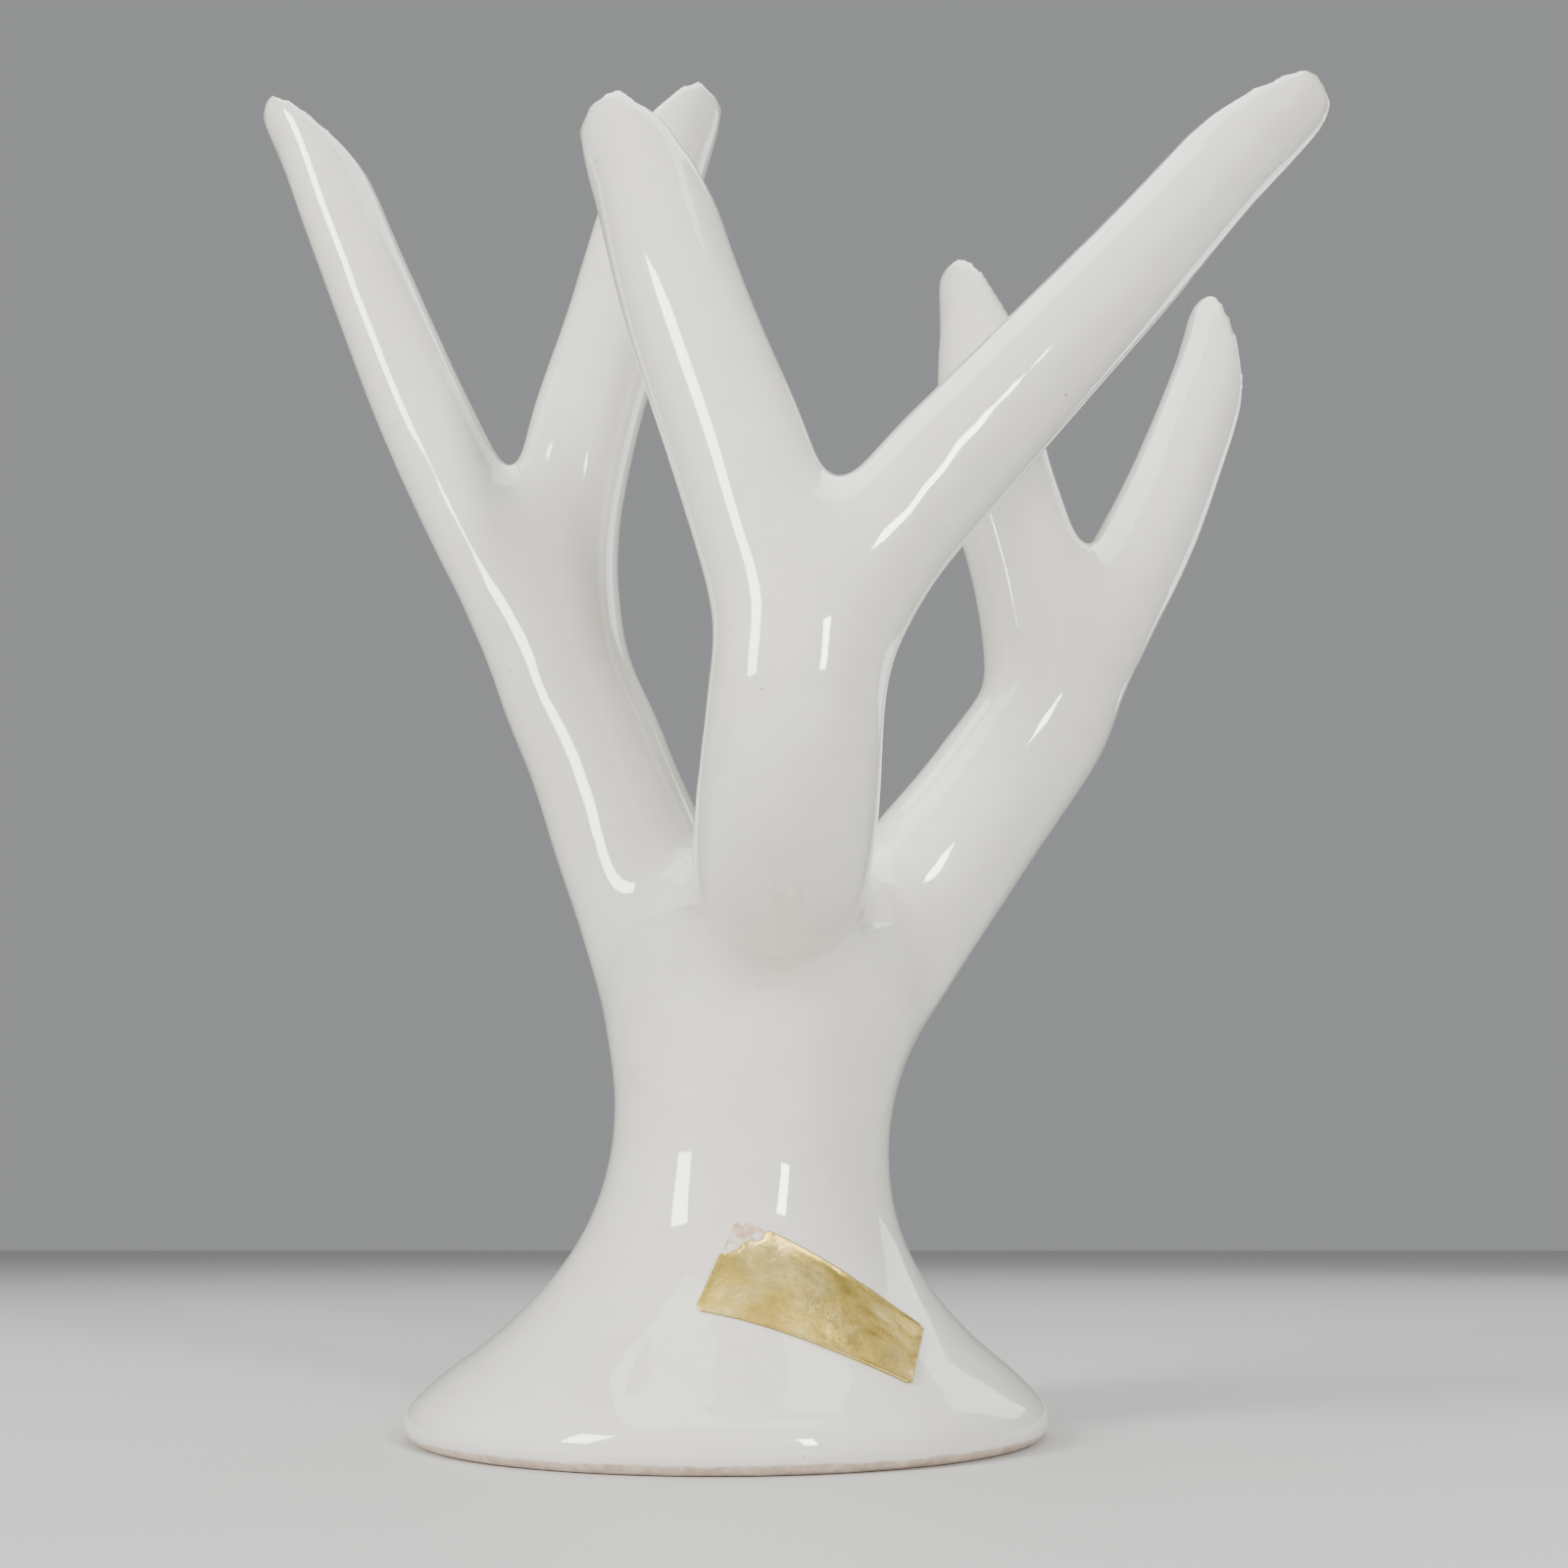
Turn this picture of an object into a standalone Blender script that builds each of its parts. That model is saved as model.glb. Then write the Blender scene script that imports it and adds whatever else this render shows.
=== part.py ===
"""Branch vase: a slip-cast, glazed ceramic tree with three forked branches.

The body is four hollow castings. The trunk casting has a flat underside and a stub for each
branch. A fork casting is luted to each stub with a ring of slip, so the bores of the six arms
open into the trunk. A gold foil label with one torn corner is stuck to the flank of the foot.

Lengths are in metres, +Z is up and the origin is the centre of the underside.
"""
import math

import bmesh
import bpy
from mathutils import Matrix, Vector, geometry

MM = 0.001

# Foot and trunk
FOOT_RADIUS = 47.6 * MM
FOOT_EDGE = 3.8 * MM              # radius of the rolled edge of the foot
FOOT_EDGE_HEIGHT = 2.9 * MM       # height of the middle of that edge
FLARE_REACH = 21.0 * MM           # how far the flare keeps the slope it starts with
FLARE_SLOPE = math.radians(37.0)
WAIST_RADIUS = 21.7 * MM
WAIST_HEIGHT = 44.5 * MM
WAIST_REACH = 18.0 * MM           # how far the flare runs upright below the waist
SHOULDER_REACH = 8.5 * MM         # the same above the waist and below the shoulder
CROWN_RADIUS = 26.2 * MM
CROWN_HEIGHT = 68.0 * MM          # height of the widest turn of the crown
CROWN_RISE = 19.0 * MM            # dome above that turn
LEAN = 0.095                      # sideways travel of the trunk for each unit of height
LEAN_START = 10.0 * MM            # height over which the trunk bends into that lean
WALL = 3.2 * MM                   # thickness of the trunk's wall
FLOOR = 4.0 * MM                  # thickness of the trunk's floor

# Branches
ROOT_DIAMETER = 29.5 * MM         # where a branch leaves the middle of the trunk
NECK_DIAMETER = 24.8 * MM
THICK_ARM_DIAMETER = 21.8 * MM
THICK_TIP_DIAMETER = 18.4 * MM
THIN_ROOT_INSET = 0.9 * MM        # by which the root of the thin arm is narrower than the neck
THIN_ROOT_SHIFT = 0.55 * MM       # of that root towards the outside of the fork
THIN_ARM_DIAMETER = 19.8 * MM
THIN_TIP_DIAMETER = 15.0 * MM
ROOT_LENGTH = 56.0 * MM           # over which the root narrows to the neck
FORK_LENGTH = 22.0 * MM           # over which the neck narrows to an arm
BRANCH_WALL = 2.8 * MM
MOUTH_SLANT = math.radians(29.0)  # between an arm's axis and the plane of its mouth
MOUTH_NOSE = 3.4 * MM             # blunt end of an arm, measured back from its sharp tip
MOUTH_MARGIN = 3.0 * MM           # uncut length of an arm beyond the end of its mouth

# Joints
SLIP_THICKNESS = 1.4 * MM
CLEARANCE = 0.3 * MM              # between pieces that meet

# Label
LABEL_LENGTH = 29.0 * MM
LABEL_HEIGHT = 13.0 * MM
LABEL_THICKNESS = 0.3 * MM
LABEL_BEARING = math.radians(-67.0)  # of the side of the foot that it is stuck to
LABEL_PITCH = math.radians(40.0)     # upward slope of the line that faces it squarely
LABEL_TILT = math.radians(-36.0)
LABEL_MIDDLE_HEIGHT = 19.0 * MM
LABEL_MIDDLE_RADIUS = 30.4 * MM
LABEL_APPROACH = 30.0 * MM        # how far off the foot the flat label starts
TORN_LENGTH = 5.0 * MM            # of the torn corner, along the label's top edge
TORN_HEIGHT = 6.0 * MM            # and down its short edge

# Fineness
DOME_STEPS = 8
SHOULDER_STEPS = 6
FLARE_STEPS = 12
EDGE_STEPS = 6
LABEL_COLUMNS = 20
LABEL_ROWS = 9
TRUNK_SIDES = 48
CAVITY_SIDES = 32
TUBE_RESOLUTION = 6               # 16 sides
BORE_RESOLUTION = 4               # 12 sides
ROUTE_STEP = 6.0 * MM
BORE_STEP = 9.0 * MM
WELD_DISTANCE = 0.005 * MM
SHARP_ANGLE = math.radians(40.0)  # between faces, above which an edge is shaded sharp

# Each fork's axes are points in millimetres from the heart of the trunk, the point on its axis
# where the crown is widest. Both arms go on from the neck. The joint lies on the neck's axis,
# just beyond the crown's radius by the distance given. A mouth faces the bearing given.
FORKS = {
    "front": {
        "neck": [(0, 0, 6), (1.5, -17, 9), (2.5, -32, 12.5), (3.5, -45, 20.5), (4.5, -51, 31)],
        "thick": [(4.4, -50, 42), (0.5, -49, 56), (-4.5, -47, 72), (-9.5, -45, 87), (-14, -43, 102),
                  (-18.5, -40, 120)],
        "thin": [(9.5, -50, 42.5), (18, -48.5, 56.5), (36, -46, 78.5), (56, -43, 102.5),
                 (68, -41, 117.5), (78.5, -40, 130)],
        "joint": 1.5 * MM,
        "thick_mouth": 45.0,
        "thin_mouth": 150.0,
    },
    "left": {
        "neck": [(-2, 0, -14), (-13.5, 2, 0), (-18, 4, 12), (-24.5, 7, 27), (-31.5, 11, 45),
                 (-36.5, 12, 56)],
        "thick": [(-38, 13, 68), (-38.5, 15, 86), (-35.5, 16, 107), (-30.5, 18, 130),
                  (-27, 19, 148), (-21.5, 20, 173)],
        "thin": [(-44.5, 12, 70), (-56, 12, 91), (-65.5, 11, 110), (-75.5, 10, 133),
                 (-84, 9, 153), (-89.5, 9, 166)],
        "joint": 17.0 * MM,
        "thick_mouth": 150.0,
        "thin_mouth": 20.0,
    },
    "right": {
        "neck": [(3, 0, -14), (14, 2, 0), (22.5, 4, 12), (33, 8, 26), (43, 12, 40), (50.5, 14, 52)],
        "thick": [(50.5, 16, 63), (48, 17, 80), (43.5, 18, 99), (42, 19, 117), (42.5, 20, 131.5)],
        "thin": [(58.5, 17, 65), (71.5, 23, 87), (80, 27, 105), (86.5, 29, 121), (91, 31, 133.5)],
        "joint": 17.0 * MM,
        "thick_mouth": 20.0,
        "thin_mouth": 20.0,
    },
}


# ---------------------------------------------------------------- scene and materials

def clear_scene():
    for item in list(bpy.data.objects):
        bpy.data.objects.remove(item, do_unlink=True)


def new_collection(name):
    collection = bpy.data.collections.new(name)
    bpy.context.scene.collection.children.link(collection)
    return collection


def new_material(name, colour, roughness, metallic=0.0):
    material = bpy.data.materials.new(name)
    material.use_nodes = True
    shader = material.node_tree.nodes["Principled BSDF"]
    shader.inputs["Base Color"].default_value = (*colour, 1.0)
    shader.inputs["Roughness"].default_value = roughness
    shader.inputs["Metallic"].default_value = metallic
    return material


def glaze_material(name):
    return new_material(name, (0.72, 0.70, 0.65), 0.08)


def slip_material(name):
    return new_material(name, (0.66, 0.61, 0.53), 0.45)


def foil_material(name):
    return new_material(name, (0.62, 0.47, 0.16), 0.3, 1.0)


def residue_material(name):
    return new_material(name, (0.55, 0.42, 0.28), 0.8)


def new_object(name, mesh, collection):
    item = bpy.data.objects.new(name, mesh)
    collection.objects.link(item)
    return item


def finish_piece(item, material, parts):
    """Moves a piece to the parts and gives it its material and shading."""
    for collection in list(item.users_collection):
        collection.objects.unlink(item)
    parts.objects.link(item)
    item.hide_render = False
    item.display_type = "TEXTURED"
    item.data.materials.clear()
    item.data.materials.append(material)
    item.data.shade_smooth()
    item.data.set_sharp_from_angle(angle=SHARP_ANGLE)


def as_guide(item):
    item.hide_render = True
    item.display_type = "WIRE"
    return item


def baked(item):
    """The mesh of an object with its modifiers applied and loose caps welded."""
    depsgraph = bpy.context.evaluated_depsgraph_get()
    mesh = bpy.data.meshes.new_from_object(item.evaluated_get(depsgraph))
    work = bmesh.new()
    work.from_mesh(mesh)
    bmesh.ops.remove_doubles(work, verts=work.verts, dist=WELD_DISTANCE)
    work.to_mesh(mesh)
    work.free()
    return mesh


def combine(item, other, operation):
    modifier = item.modifiers.new(operation.title(), "BOOLEAN")
    modifier.operation = operation
    modifier.object = other
    modifier.solver = "EXACT"


# ---------------------------------------------------------------- routes and tubes

def smooth_route(points, step):
    """Points about one step apart on a smooth curve through the given points."""
    route = [points[0]]
    last = len(points) - 1
    for index in range(last):
        start = points[index]
        end = points[index + 1]
        before = points[max(index - 1, 0)]
        after = points[min(index + 2, last)]
        count = max(2, round((end - start).length / step)) + 1
        route += geometry.interpolate_bezier(
            start, start + (end - before) / 6.0, end - (after - start) / 6.0, end, count)[1:]
    return route


def distances(route):
    """Distance along the route at each of its points."""
    total = [0.0]
    for before, after in zip(route, route[1:]):
        total.append(total[-1] + (after - before).length)
    return total


def between(value, stations):
    """Linear interpolation in a list of (place, size) stations."""
    if value <= stations[0][0]:
        return stations[0][1]
    for (low, first), (high, second) in zip(stations, stations[1:]):
        if value <= high:
            return first + (second - first) * (value - low) / (high - low)
    return stations[-1][1]


def tube(name, route, stations, inset, resolution, guides):
    """A closed tapered tube along a route, with its radius reduced by inset."""
    curve = bpy.data.curves.new(name, "CURVE")
    curve.dimensions = "3D"
    curve.bevel_depth = 1.0
    curve.bevel_resolution = resolution
    curve.use_fill_caps = True
    spline = curve.splines.new("POLY")
    spline.points.add(len(route) - 1)
    for point, place, along in zip(spline.points, route, distances(route)):
        point.co = (*place, 1.0)
        point.radius = between(along, stations) / 2.0 - inset
    source = new_object(name + "_curve", curve, guides)
    mesh = baked(source)
    bpy.data.objects.remove(source)
    return as_guide(new_object(name, mesh, guides))


def block_beyond(name, point, normal, width, depth, guides):
    """A box whose one face is centred on the point, and which lies along the normal from it."""
    work = bmesh.new()
    bmesh.ops.create_cube(work, size=1.0)
    bmesh.ops.translate(work, verts=work.verts, vec=(0.0, 0.0, 0.5))
    bmesh.ops.scale(work, verts=work.verts, vec=(width, width, depth))
    mesh = bpy.data.meshes.new(name)
    work.to_mesh(mesh)
    work.free()
    turn = normal.to_track_quat("Z", "Y").to_matrix().to_4x4()
    mesh.transform(Matrix.Translation(point) @ turn)
    return as_guide(new_object(name, mesh, guides))


def trunk_axis(height):
    """Middle of the leaning trunk at a height."""
    return Vector((LEAN * height * height / (height + LEAN_START), 0.0, height))


def fork_points(fork, key):
    heart = trunk_axis(CROWN_HEIGHT)
    return [heart + Vector(point) * MM for point in fork[key]]


def half_mouth(tip_diameter):
    """Distance along an arm from the middle of its mouth to past the mouth's end."""
    return tip_diameter / (2.0 * math.tan(MOUTH_SLANT)) + MOUTH_MARGIN


def mouth_plane(points, bearing):
    """Middle and normal of the slanting plane that ends an arm."""
    axis = (points[-1] - points[-2]).normalized()
    facing = Vector((math.cos(math.radians(bearing)), math.sin(math.radians(bearing)), 0.0))
    side = (facing - axis * facing.dot(axis)).normalized()
    return points[-1], axis * math.sin(MOUTH_SLANT) + side * math.cos(MOUTH_SLANT)


def place_on_route(route, wanted):
    """Point and direction at a distance along a route."""
    along = distances(route)
    for index in range(1, len(route)):
        if along[index] >= wanted:
            share = (wanted - along[index - 1]) / (along[index] - along[index - 1])
            step = route[index] - route[index - 1]
            return route[index - 1] + step * share, step.normalized()
    raise ValueError("the route is too short for its joint")


# ---------------------------------------------------------------- trunk

def trunk_profile():
    """The outer side of the trunk from the top of the crown down to the underside."""
    dome = []
    for step in range(DOME_STEPS):
        angle = math.radians(90.0) * step / DOME_STEPS
        dome.append((CROWN_RADIUS * math.sin(angle), CROWN_HEIGHT + CROWN_RISE * math.cos(angle)))
    crown = Vector((CROWN_RADIUS, CROWN_HEIGHT))
    waist = Vector((WAIST_RADIUS, WAIST_HEIGHT))
    reach = Vector((0.0, SHOULDER_REACH))
    shoulder = geometry.interpolate_bezier(crown, crown - reach, waist + reach, waist,
                                           SHOULDER_STEPS + 1)
    edge_centre = Vector((FOOT_RADIUS - FOOT_EDGE, FOOT_EDGE_HEIGHT))
    edge_top = math.radians(90.0) - FLARE_SLOPE
    start = edge_centre + FOOT_EDGE * Vector((math.cos(edge_top), math.sin(edge_top)))
    slope = Vector((-math.cos(FLARE_SLOPE), math.sin(FLARE_SLOPE)))
    flare = geometry.interpolate_bezier(waist, waist - Vector((0.0, WAIST_REACH)),
                                        start + FLARE_REACH * slope, start, FLARE_STEPS + 1)
    edge_bottom = -math.asin(FOOT_EDGE_HEIGHT / FOOT_EDGE)
    edge = []
    for step in range(1, EDGE_STEPS + 1):
        angle = edge_top + (edge_bottom - edge_top) * step / EDGE_STEPS
        edge.append(edge_centre + FOOT_EDGE * Vector((math.cos(angle), math.sin(angle))))
    return [Vector(point) for point in dome] + shoulder[:-1] + flare + edge


def offset_profile(profile, distance):
    """The profile moved inwards by a distance."""
    inner = []
    for index, point in enumerate(profile):
        before = profile[max(index - 1, 0)]
        after = profile[min(index + 1, len(profile) - 1)]
        along = (after - before).normalized()
        inner.append(point - distance * Vector((-along.y, along.x)))
    return inner


def turned(name, profile, sides, guides):
    """A closed body turned from a profile that starts and ends on the axis, then leaned over."""
    mesh = bpy.data.meshes.new(name)
    points = [(point.x, 0.0, point.y) for point in profile]
    mesh.from_pydata(points, [(index, index + 1) for index in range(len(points) - 1)], [])
    source = new_object(name + "_profile", mesh, guides)
    screw = source.modifiers.new("Turn", "SCREW")
    screw.steps = sides
    screw.render_steps = sides
    screw.use_merge_vertices = True
    screw.merge_threshold = WELD_DISTANCE
    result = baked(source)
    bpy.data.objects.remove(source)
    for vertex in result.vertices:
        vertex.co.x += trunk_axis(vertex.co.z).x
    return as_guide(new_object(name, result, guides))


def trunk_core(guides):
    profile = trunk_profile()
    profile += [Vector((0.0, 0.0))]
    return turned("trunk_core", profile, TRUNK_SIDES, guides)


def trunk_cavity(guides):
    inner = offset_profile(trunk_profile(), WALL)
    inner[0].x = 0.0
    kept = [point for point in inner if point.y > FLOOR + WALL / 2.0]
    kept += [Vector((kept[-1].x, FLOOR)), Vector((0.0, FLOOR))]
    return turned("trunk_cavity", kept, CAVITY_SIDES, guides)


# ---------------------------------------------------------------- forks

def neck_stations(neck_length):
    return [(0.0, ROOT_DIAMETER), (ROOT_LENGTH, NECK_DIAMETER), (neck_length, NECK_DIAMETER)]


def branch_tubes(name, route_points, stations, guides):
    """The outside and the bore of one route."""
    outside = tube(name, smooth_route(route_points, ROUTE_STEP), stations, 0.0, TUBE_RESOLUTION,
                   guides)
    bore = tube(name + "_bore", smooth_route(route_points, BORE_STEP), stations, BRANCH_WALL,
                BORE_RESOLUTION, guides)
    return outside, bore


def cut_mouth(outside, points, bearing, tip_diameter, guides):
    """Cuts the end of an arm along the slanting plane of its mouth."""
    reach = half_mouth(tip_diameter)
    middle, normal = mouth_plane(points, bearing)
    block = block_beyond(outside.name + "_mouth", middle, normal, 2.0 * reach + tip_diameter,
                         2.0 * reach, guides)
    combine(outside, block, "DIFFERENCE")
    axis = (points[-1] - points[-2]).normalized()
    nose = middle + axis * (reach - MOUTH_MARGIN - MOUTH_NOSE)
    block = block_beyond(outside.name + "_nose", nose, axis, 2.0 * tip_diameter, reach, guides)
    combine(outside, block, "DIFFERENCE")


def past_mouth(points, tip_diameter):
    """The points of an arm and one more, straight on past its mouth."""
    ahead = (points[-1] - points[-2]).normalized()
    return points + [points[-1] + ahead * half_mouth(tip_diameter)]


def length_of(points):
    return distances(smooth_route(points, ROUTE_STEP))[-1]


def thick_arm(name, fork, guides):
    """The neck and the thick arm that goes on from it."""
    neck = fork_points(fork, "neck")
    points = neck + fork_points(fork, "thick")
    neck_length = length_of(neck)
    stations = neck_stations(neck_length)
    stations += [(neck_length + FORK_LENGTH, THICK_ARM_DIAMETER),
                 (length_of(points), THICK_TIP_DIAMETER)]
    outside, bore = branch_tubes(name, past_mouth(points, THICK_TIP_DIAMETER), stations, guides)
    cut_mouth(outside, points, fork["thick_mouth"], THICK_TIP_DIAMETER, guides)
    return outside, bore


def thin_arm(name, fork, guides):
    """The thin arm, which starts inside the neck."""
    root = fork_points(fork, "neck")[-2:]
    arm = fork_points(fork, "thin")
    ahead = (root[1] - root[0]).normalized()
    outward = arm[0] - root[1]
    shift = (outward - ahead * outward.dot(ahead)).normalized() * THIN_ROOT_SHIFT
    points = [place + shift for place in root] + arm
    root_diameter = NECK_DIAMETER - 2.0 * THIN_ROOT_INSET
    root_length = length_of(points[:2])
    stations = [(0.0, root_diameter), (root_length, root_diameter),
                (root_length + FORK_LENGTH, THIN_ARM_DIAMETER),
                (length_of(points), THIN_TIP_DIAMETER)]
    outside, bore = branch_tubes(name, past_mouth(points, THIN_TIP_DIAMETER), stations, guides)
    cut_mouth(outside, points, fork["thin_mouth"], THIN_TIP_DIAMETER, guides)
    return outside, bore


def build_fork(name, fork, guides, parts):
    """Makes a fork casting and its slip ring; gives back the stub and the bore for the trunk."""
    thick, thick_bore = thick_arm(name + "_thick", fork, guides)
    thin, thin_bore = thin_arm(name + "_thin", fork, guides)
    whole = as_guide(new_object(name + "_whole", baked(thick), guides))
    combine(whole, thin, "UNION")
    combine(whole, thick_bore, "DIFFERENCE")
    combine(whole, thin_bore, "DIFFERENCE")

    neck = smooth_route(fork_points(fork, "neck"), ROUTE_STEP)
    joint, along = place_on_route(neck, CROWN_RADIUS + fork["joint"])
    width = 3.0 * ROOT_DIAMETER
    half_slip = SLIP_THICKNESS / 2.0
    face = half_slip + CLEARANCE

    casting = new_object(name, baked(whole), parts)
    below = block_beyond(name + "_below", joint + along * face, -along, width, width, guides)
    combine(casting, below, "DIFFERENCE")

    ring = new_object(name.replace("fork", "slip_ring"), baked(whole), parts)
    slab = block_beyond(name + "_slab", joint - along * half_slip, along, width, SLIP_THICKNESS,
                        guides)
    combine(ring, slab, "INTERSECT")

    stub = as_guide(new_object(name + "_stub", baked(thick), guides))
    above = block_beyond(name + "_above", joint - along * face, along, 10.0 * width, 10.0 * width,
                         guides)
    combine(stub, above, "DIFFERENCE")
    return casting, ring, stub, thick_bore


# ---------------------------------------------------------------- label

def label_sheet(name, guides):
    """The flat label as a grid, in its own plane."""
    work = bmesh.new()
    bmesh.ops.create_grid(work, x_segments=LABEL_COLUMNS, y_segments=LABEL_ROWS, size=0.5)
    bmesh.ops.scale(work, verts=work.verts, vec=(LABEL_LENGTH, LABEL_HEIGHT, 1.0))
    mesh = bpy.data.meshes.new(name)
    work.to_mesh(mesh)
    work.free()
    return new_object(name, mesh, guides)


def tear(item, keep_corner):
    """Keeps the label without its torn corner, or the torn corner alone."""
    corner = Vector((-LABEL_LENGTH / 2.0, LABEL_HEIGHT / 2.0, 0.0))
    along = Vector((TORN_LENGTH, TORN_HEIGHT, 0.0)).normalized()
    outward = Vector((-along.y, along.x, 0.0))
    point = corner + Vector((TORN_LENGTH, 0.0, 0.0))
    shift = CLEARANCE / 2.0 if keep_corner else -CLEARANCE / 2.0
    work = bmesh.new()
    work.from_mesh(item.data)
    bmesh.ops.bisect_plane(
        work, geom=work.verts[:] + work.edges[:] + work.faces[:], dist=WELD_DISTANCE,
        plane_co=point + outward * shift, plane_no=outward,
        clear_outer=not keep_corner, clear_inner=keep_corner)
    work.to_mesh(item.data)
    work.free()


def stick_on_foot(item, target, guides):
    """Wraps a flat sheet on the flank of the foot and gives it its thickness."""
    flat = Vector((math.cos(LABEL_BEARING), math.sin(LABEL_BEARING), 0.0))
    facing = flat * math.cos(LABEL_PITCH) + Vector((0.0, 0.0, math.sin(LABEL_PITCH)))
    level = Vector((-flat.y, flat.x, 0.0))
    upward = facing.cross(level)
    across = level * math.cos(LABEL_TILT) + upward * math.sin(LABEL_TILT)
    turn = Matrix((across, facing.cross(across), facing)).transposed().to_4x4()
    middle = trunk_axis(LABEL_MIDDLE_HEIGHT) + flat * LABEL_MIDDLE_RADIUS
    item.matrix_world = Matrix.Translation(middle + facing * LABEL_APPROACH) @ turn
    aim = item.modifiers.new("Stick", "SHRINKWRAP")
    aim.target = target
    aim.wrap_method = "PROJECT"
    aim.wrap_mode = "ABOVE_SURFACE"
    aim.use_project_z = True
    aim.use_positive_direction = False
    aim.use_negative_direction = True
    aim.offset = CLEARANCE
    sheet = item.modifiers.new("Thickness", "SOLIDIFY")
    sheet.thickness = LABEL_THICKNESS
    sheet.offset = 1.0


def main():
    clear_scene()
    parts = new_collection("branch_vase")
    guides = new_collection("guides")

    core = trunk_core(guides)
    cavity = trunk_cavity(guides)
    trunk = new_object("trunk_casting", baked(core), parts)
    bores = []
    for side, fork in FORKS.items():
        casting, ring, stub, bore = build_fork(side + "_fork", fork, guides, parts)
        combine(trunk, stub, "UNION")
        bores.append(bore)
        finish_piece(casting, glaze_material(side + "_fork_glaze"), parts)
        finish_piece(ring, slip_material(side + "_slip"), parts)
    combine(trunk, cavity, "DIFFERENCE")
    for bore in bores:
        combine(trunk, bore, "DIFFERENCE")
    finish_piece(trunk, glaze_material("trunk_glaze"), parts)

    label = label_sheet("foil_label", guides)
    tear(label, keep_corner=False)
    stick_on_foot(label, core, guides)
    finish_piece(label, foil_material("gold_foil"), parts)
    residue = label_sheet("label_residue", guides)
    tear(residue, keep_corner=True)
    stick_on_foot(residue, core, guides)
    finish_piece(residue, residue_material("paper_residue"), parts)


main()
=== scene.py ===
"""Looks of the branch vase: glazed body, luting seams, foil label and its torn corner.

The glazed body is made from the CAD castings: they are joined, remeshed finely, relaxed and
filleted, and then cut apart again at the luting joints, so that each casting keeps its own piece.
All lengths are in metres.
"""
import math

import bmesh
import bpy
import numpy as np
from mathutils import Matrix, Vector, noise
from mathutils.bvhtree import BVHTree
from mathutils.kdtree import KDTree


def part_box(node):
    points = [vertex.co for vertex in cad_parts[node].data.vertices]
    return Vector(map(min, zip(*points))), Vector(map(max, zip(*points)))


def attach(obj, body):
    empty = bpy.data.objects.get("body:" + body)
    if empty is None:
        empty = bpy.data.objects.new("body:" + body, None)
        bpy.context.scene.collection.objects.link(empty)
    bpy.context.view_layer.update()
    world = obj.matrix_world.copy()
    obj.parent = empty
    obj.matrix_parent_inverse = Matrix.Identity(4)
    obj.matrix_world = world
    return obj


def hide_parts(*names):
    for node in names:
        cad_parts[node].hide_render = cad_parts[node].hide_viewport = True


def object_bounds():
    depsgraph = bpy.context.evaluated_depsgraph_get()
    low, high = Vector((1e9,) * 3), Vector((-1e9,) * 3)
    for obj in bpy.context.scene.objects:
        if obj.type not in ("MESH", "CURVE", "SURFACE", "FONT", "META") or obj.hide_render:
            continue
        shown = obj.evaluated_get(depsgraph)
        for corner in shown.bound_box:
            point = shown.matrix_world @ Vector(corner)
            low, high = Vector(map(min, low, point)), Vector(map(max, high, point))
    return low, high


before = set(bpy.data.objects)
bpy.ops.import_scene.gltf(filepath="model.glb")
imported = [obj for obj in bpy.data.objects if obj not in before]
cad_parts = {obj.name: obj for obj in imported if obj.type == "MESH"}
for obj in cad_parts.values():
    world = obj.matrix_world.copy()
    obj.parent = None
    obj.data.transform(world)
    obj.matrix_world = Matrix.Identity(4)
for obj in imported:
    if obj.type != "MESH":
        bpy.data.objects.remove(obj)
CAD_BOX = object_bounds()

MM = 0.001
CASTINGS = ("trunk_casting", "front_fork", "left_fork", "right_fork")
SIDES = ("front", "left", "right")

VOXEL = 0.9 * MM
RING_OVERLAP = 0.5 * MM           # how far each slip ring is lengthened into its neighbours
AVERAGE_SHARE = 0.5               # of the way to its neighbours that a point moves in one step
EVEN_STEPS = 24                   # of averaging over the whole body, to remove its facets
RIM_HEIGHT = 150 * MM             # below the lowest mouth
FILLET_STEPS = 160
FILLET_LIMIT = 0.030 * MM         # concave bend for one voxel above which a crease is filled
FILLET_SHARE = 0.8                # of the way to its neighbours that a crease moves in one step
NORMAL_STEPS = 10                 # of filling between two readings of the normals
FAIR_STEPS = 240                  # of averaging that even out waves up to two centimetres long
FAIR_ROUNDS = 3
SHADE_STEPS = 10                  # of averaging of the directions that the glaze is shaded with
SHARP_BEND = 0.055 * MM           # outward bend for one voxel that marks the rim of a mouth
RIM_REACH = 3 * MM                # distance from a rim within which nothing is faired
RIM_FADE = 9 * MM                 # and over which the fairing sets in
FOOT_FADE = 10 * MM               # height over which the fairing sets in above the foot
JOINT_REACH = 22 * MM             # distance from a joint's middle within which it cuts
JOINT_CORE = 0.8 * JOINT_REACH    # and within which its plane decides whose a face is
NEAR_CASTING = 2 * MM             # gap to a casting within which a face can be its own

SEAM_DEPTH = 0.35 * MM
SEAM_WIDTH = 1.3 * MM
SEAM_SHIFT = 0.5 * MM             # of the seam from the joint, towards the trunk
SEAM_RADII = (11.5 * MM, 20 * MM)     # nearest and farthest distance from the joint's axis
SEAM_TURN = 0.35                  # how far the seam reaches up the sides of the root
PIMPLE_HEIGHT = 0.7 * MM
PIMPLE_RADIUS = 1.6 * MM
PIMPLE_PLACE = (12.5 * MM, -1 * MM, -6.5 * MM)    # from the middle of the joint
PIMPLE_RADII = (11.8 * MM, 17.5 * MM)             # from the joint's axis
PIMPLE_BAND = 4 * MM                              # along the joint's axis, each way

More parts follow.
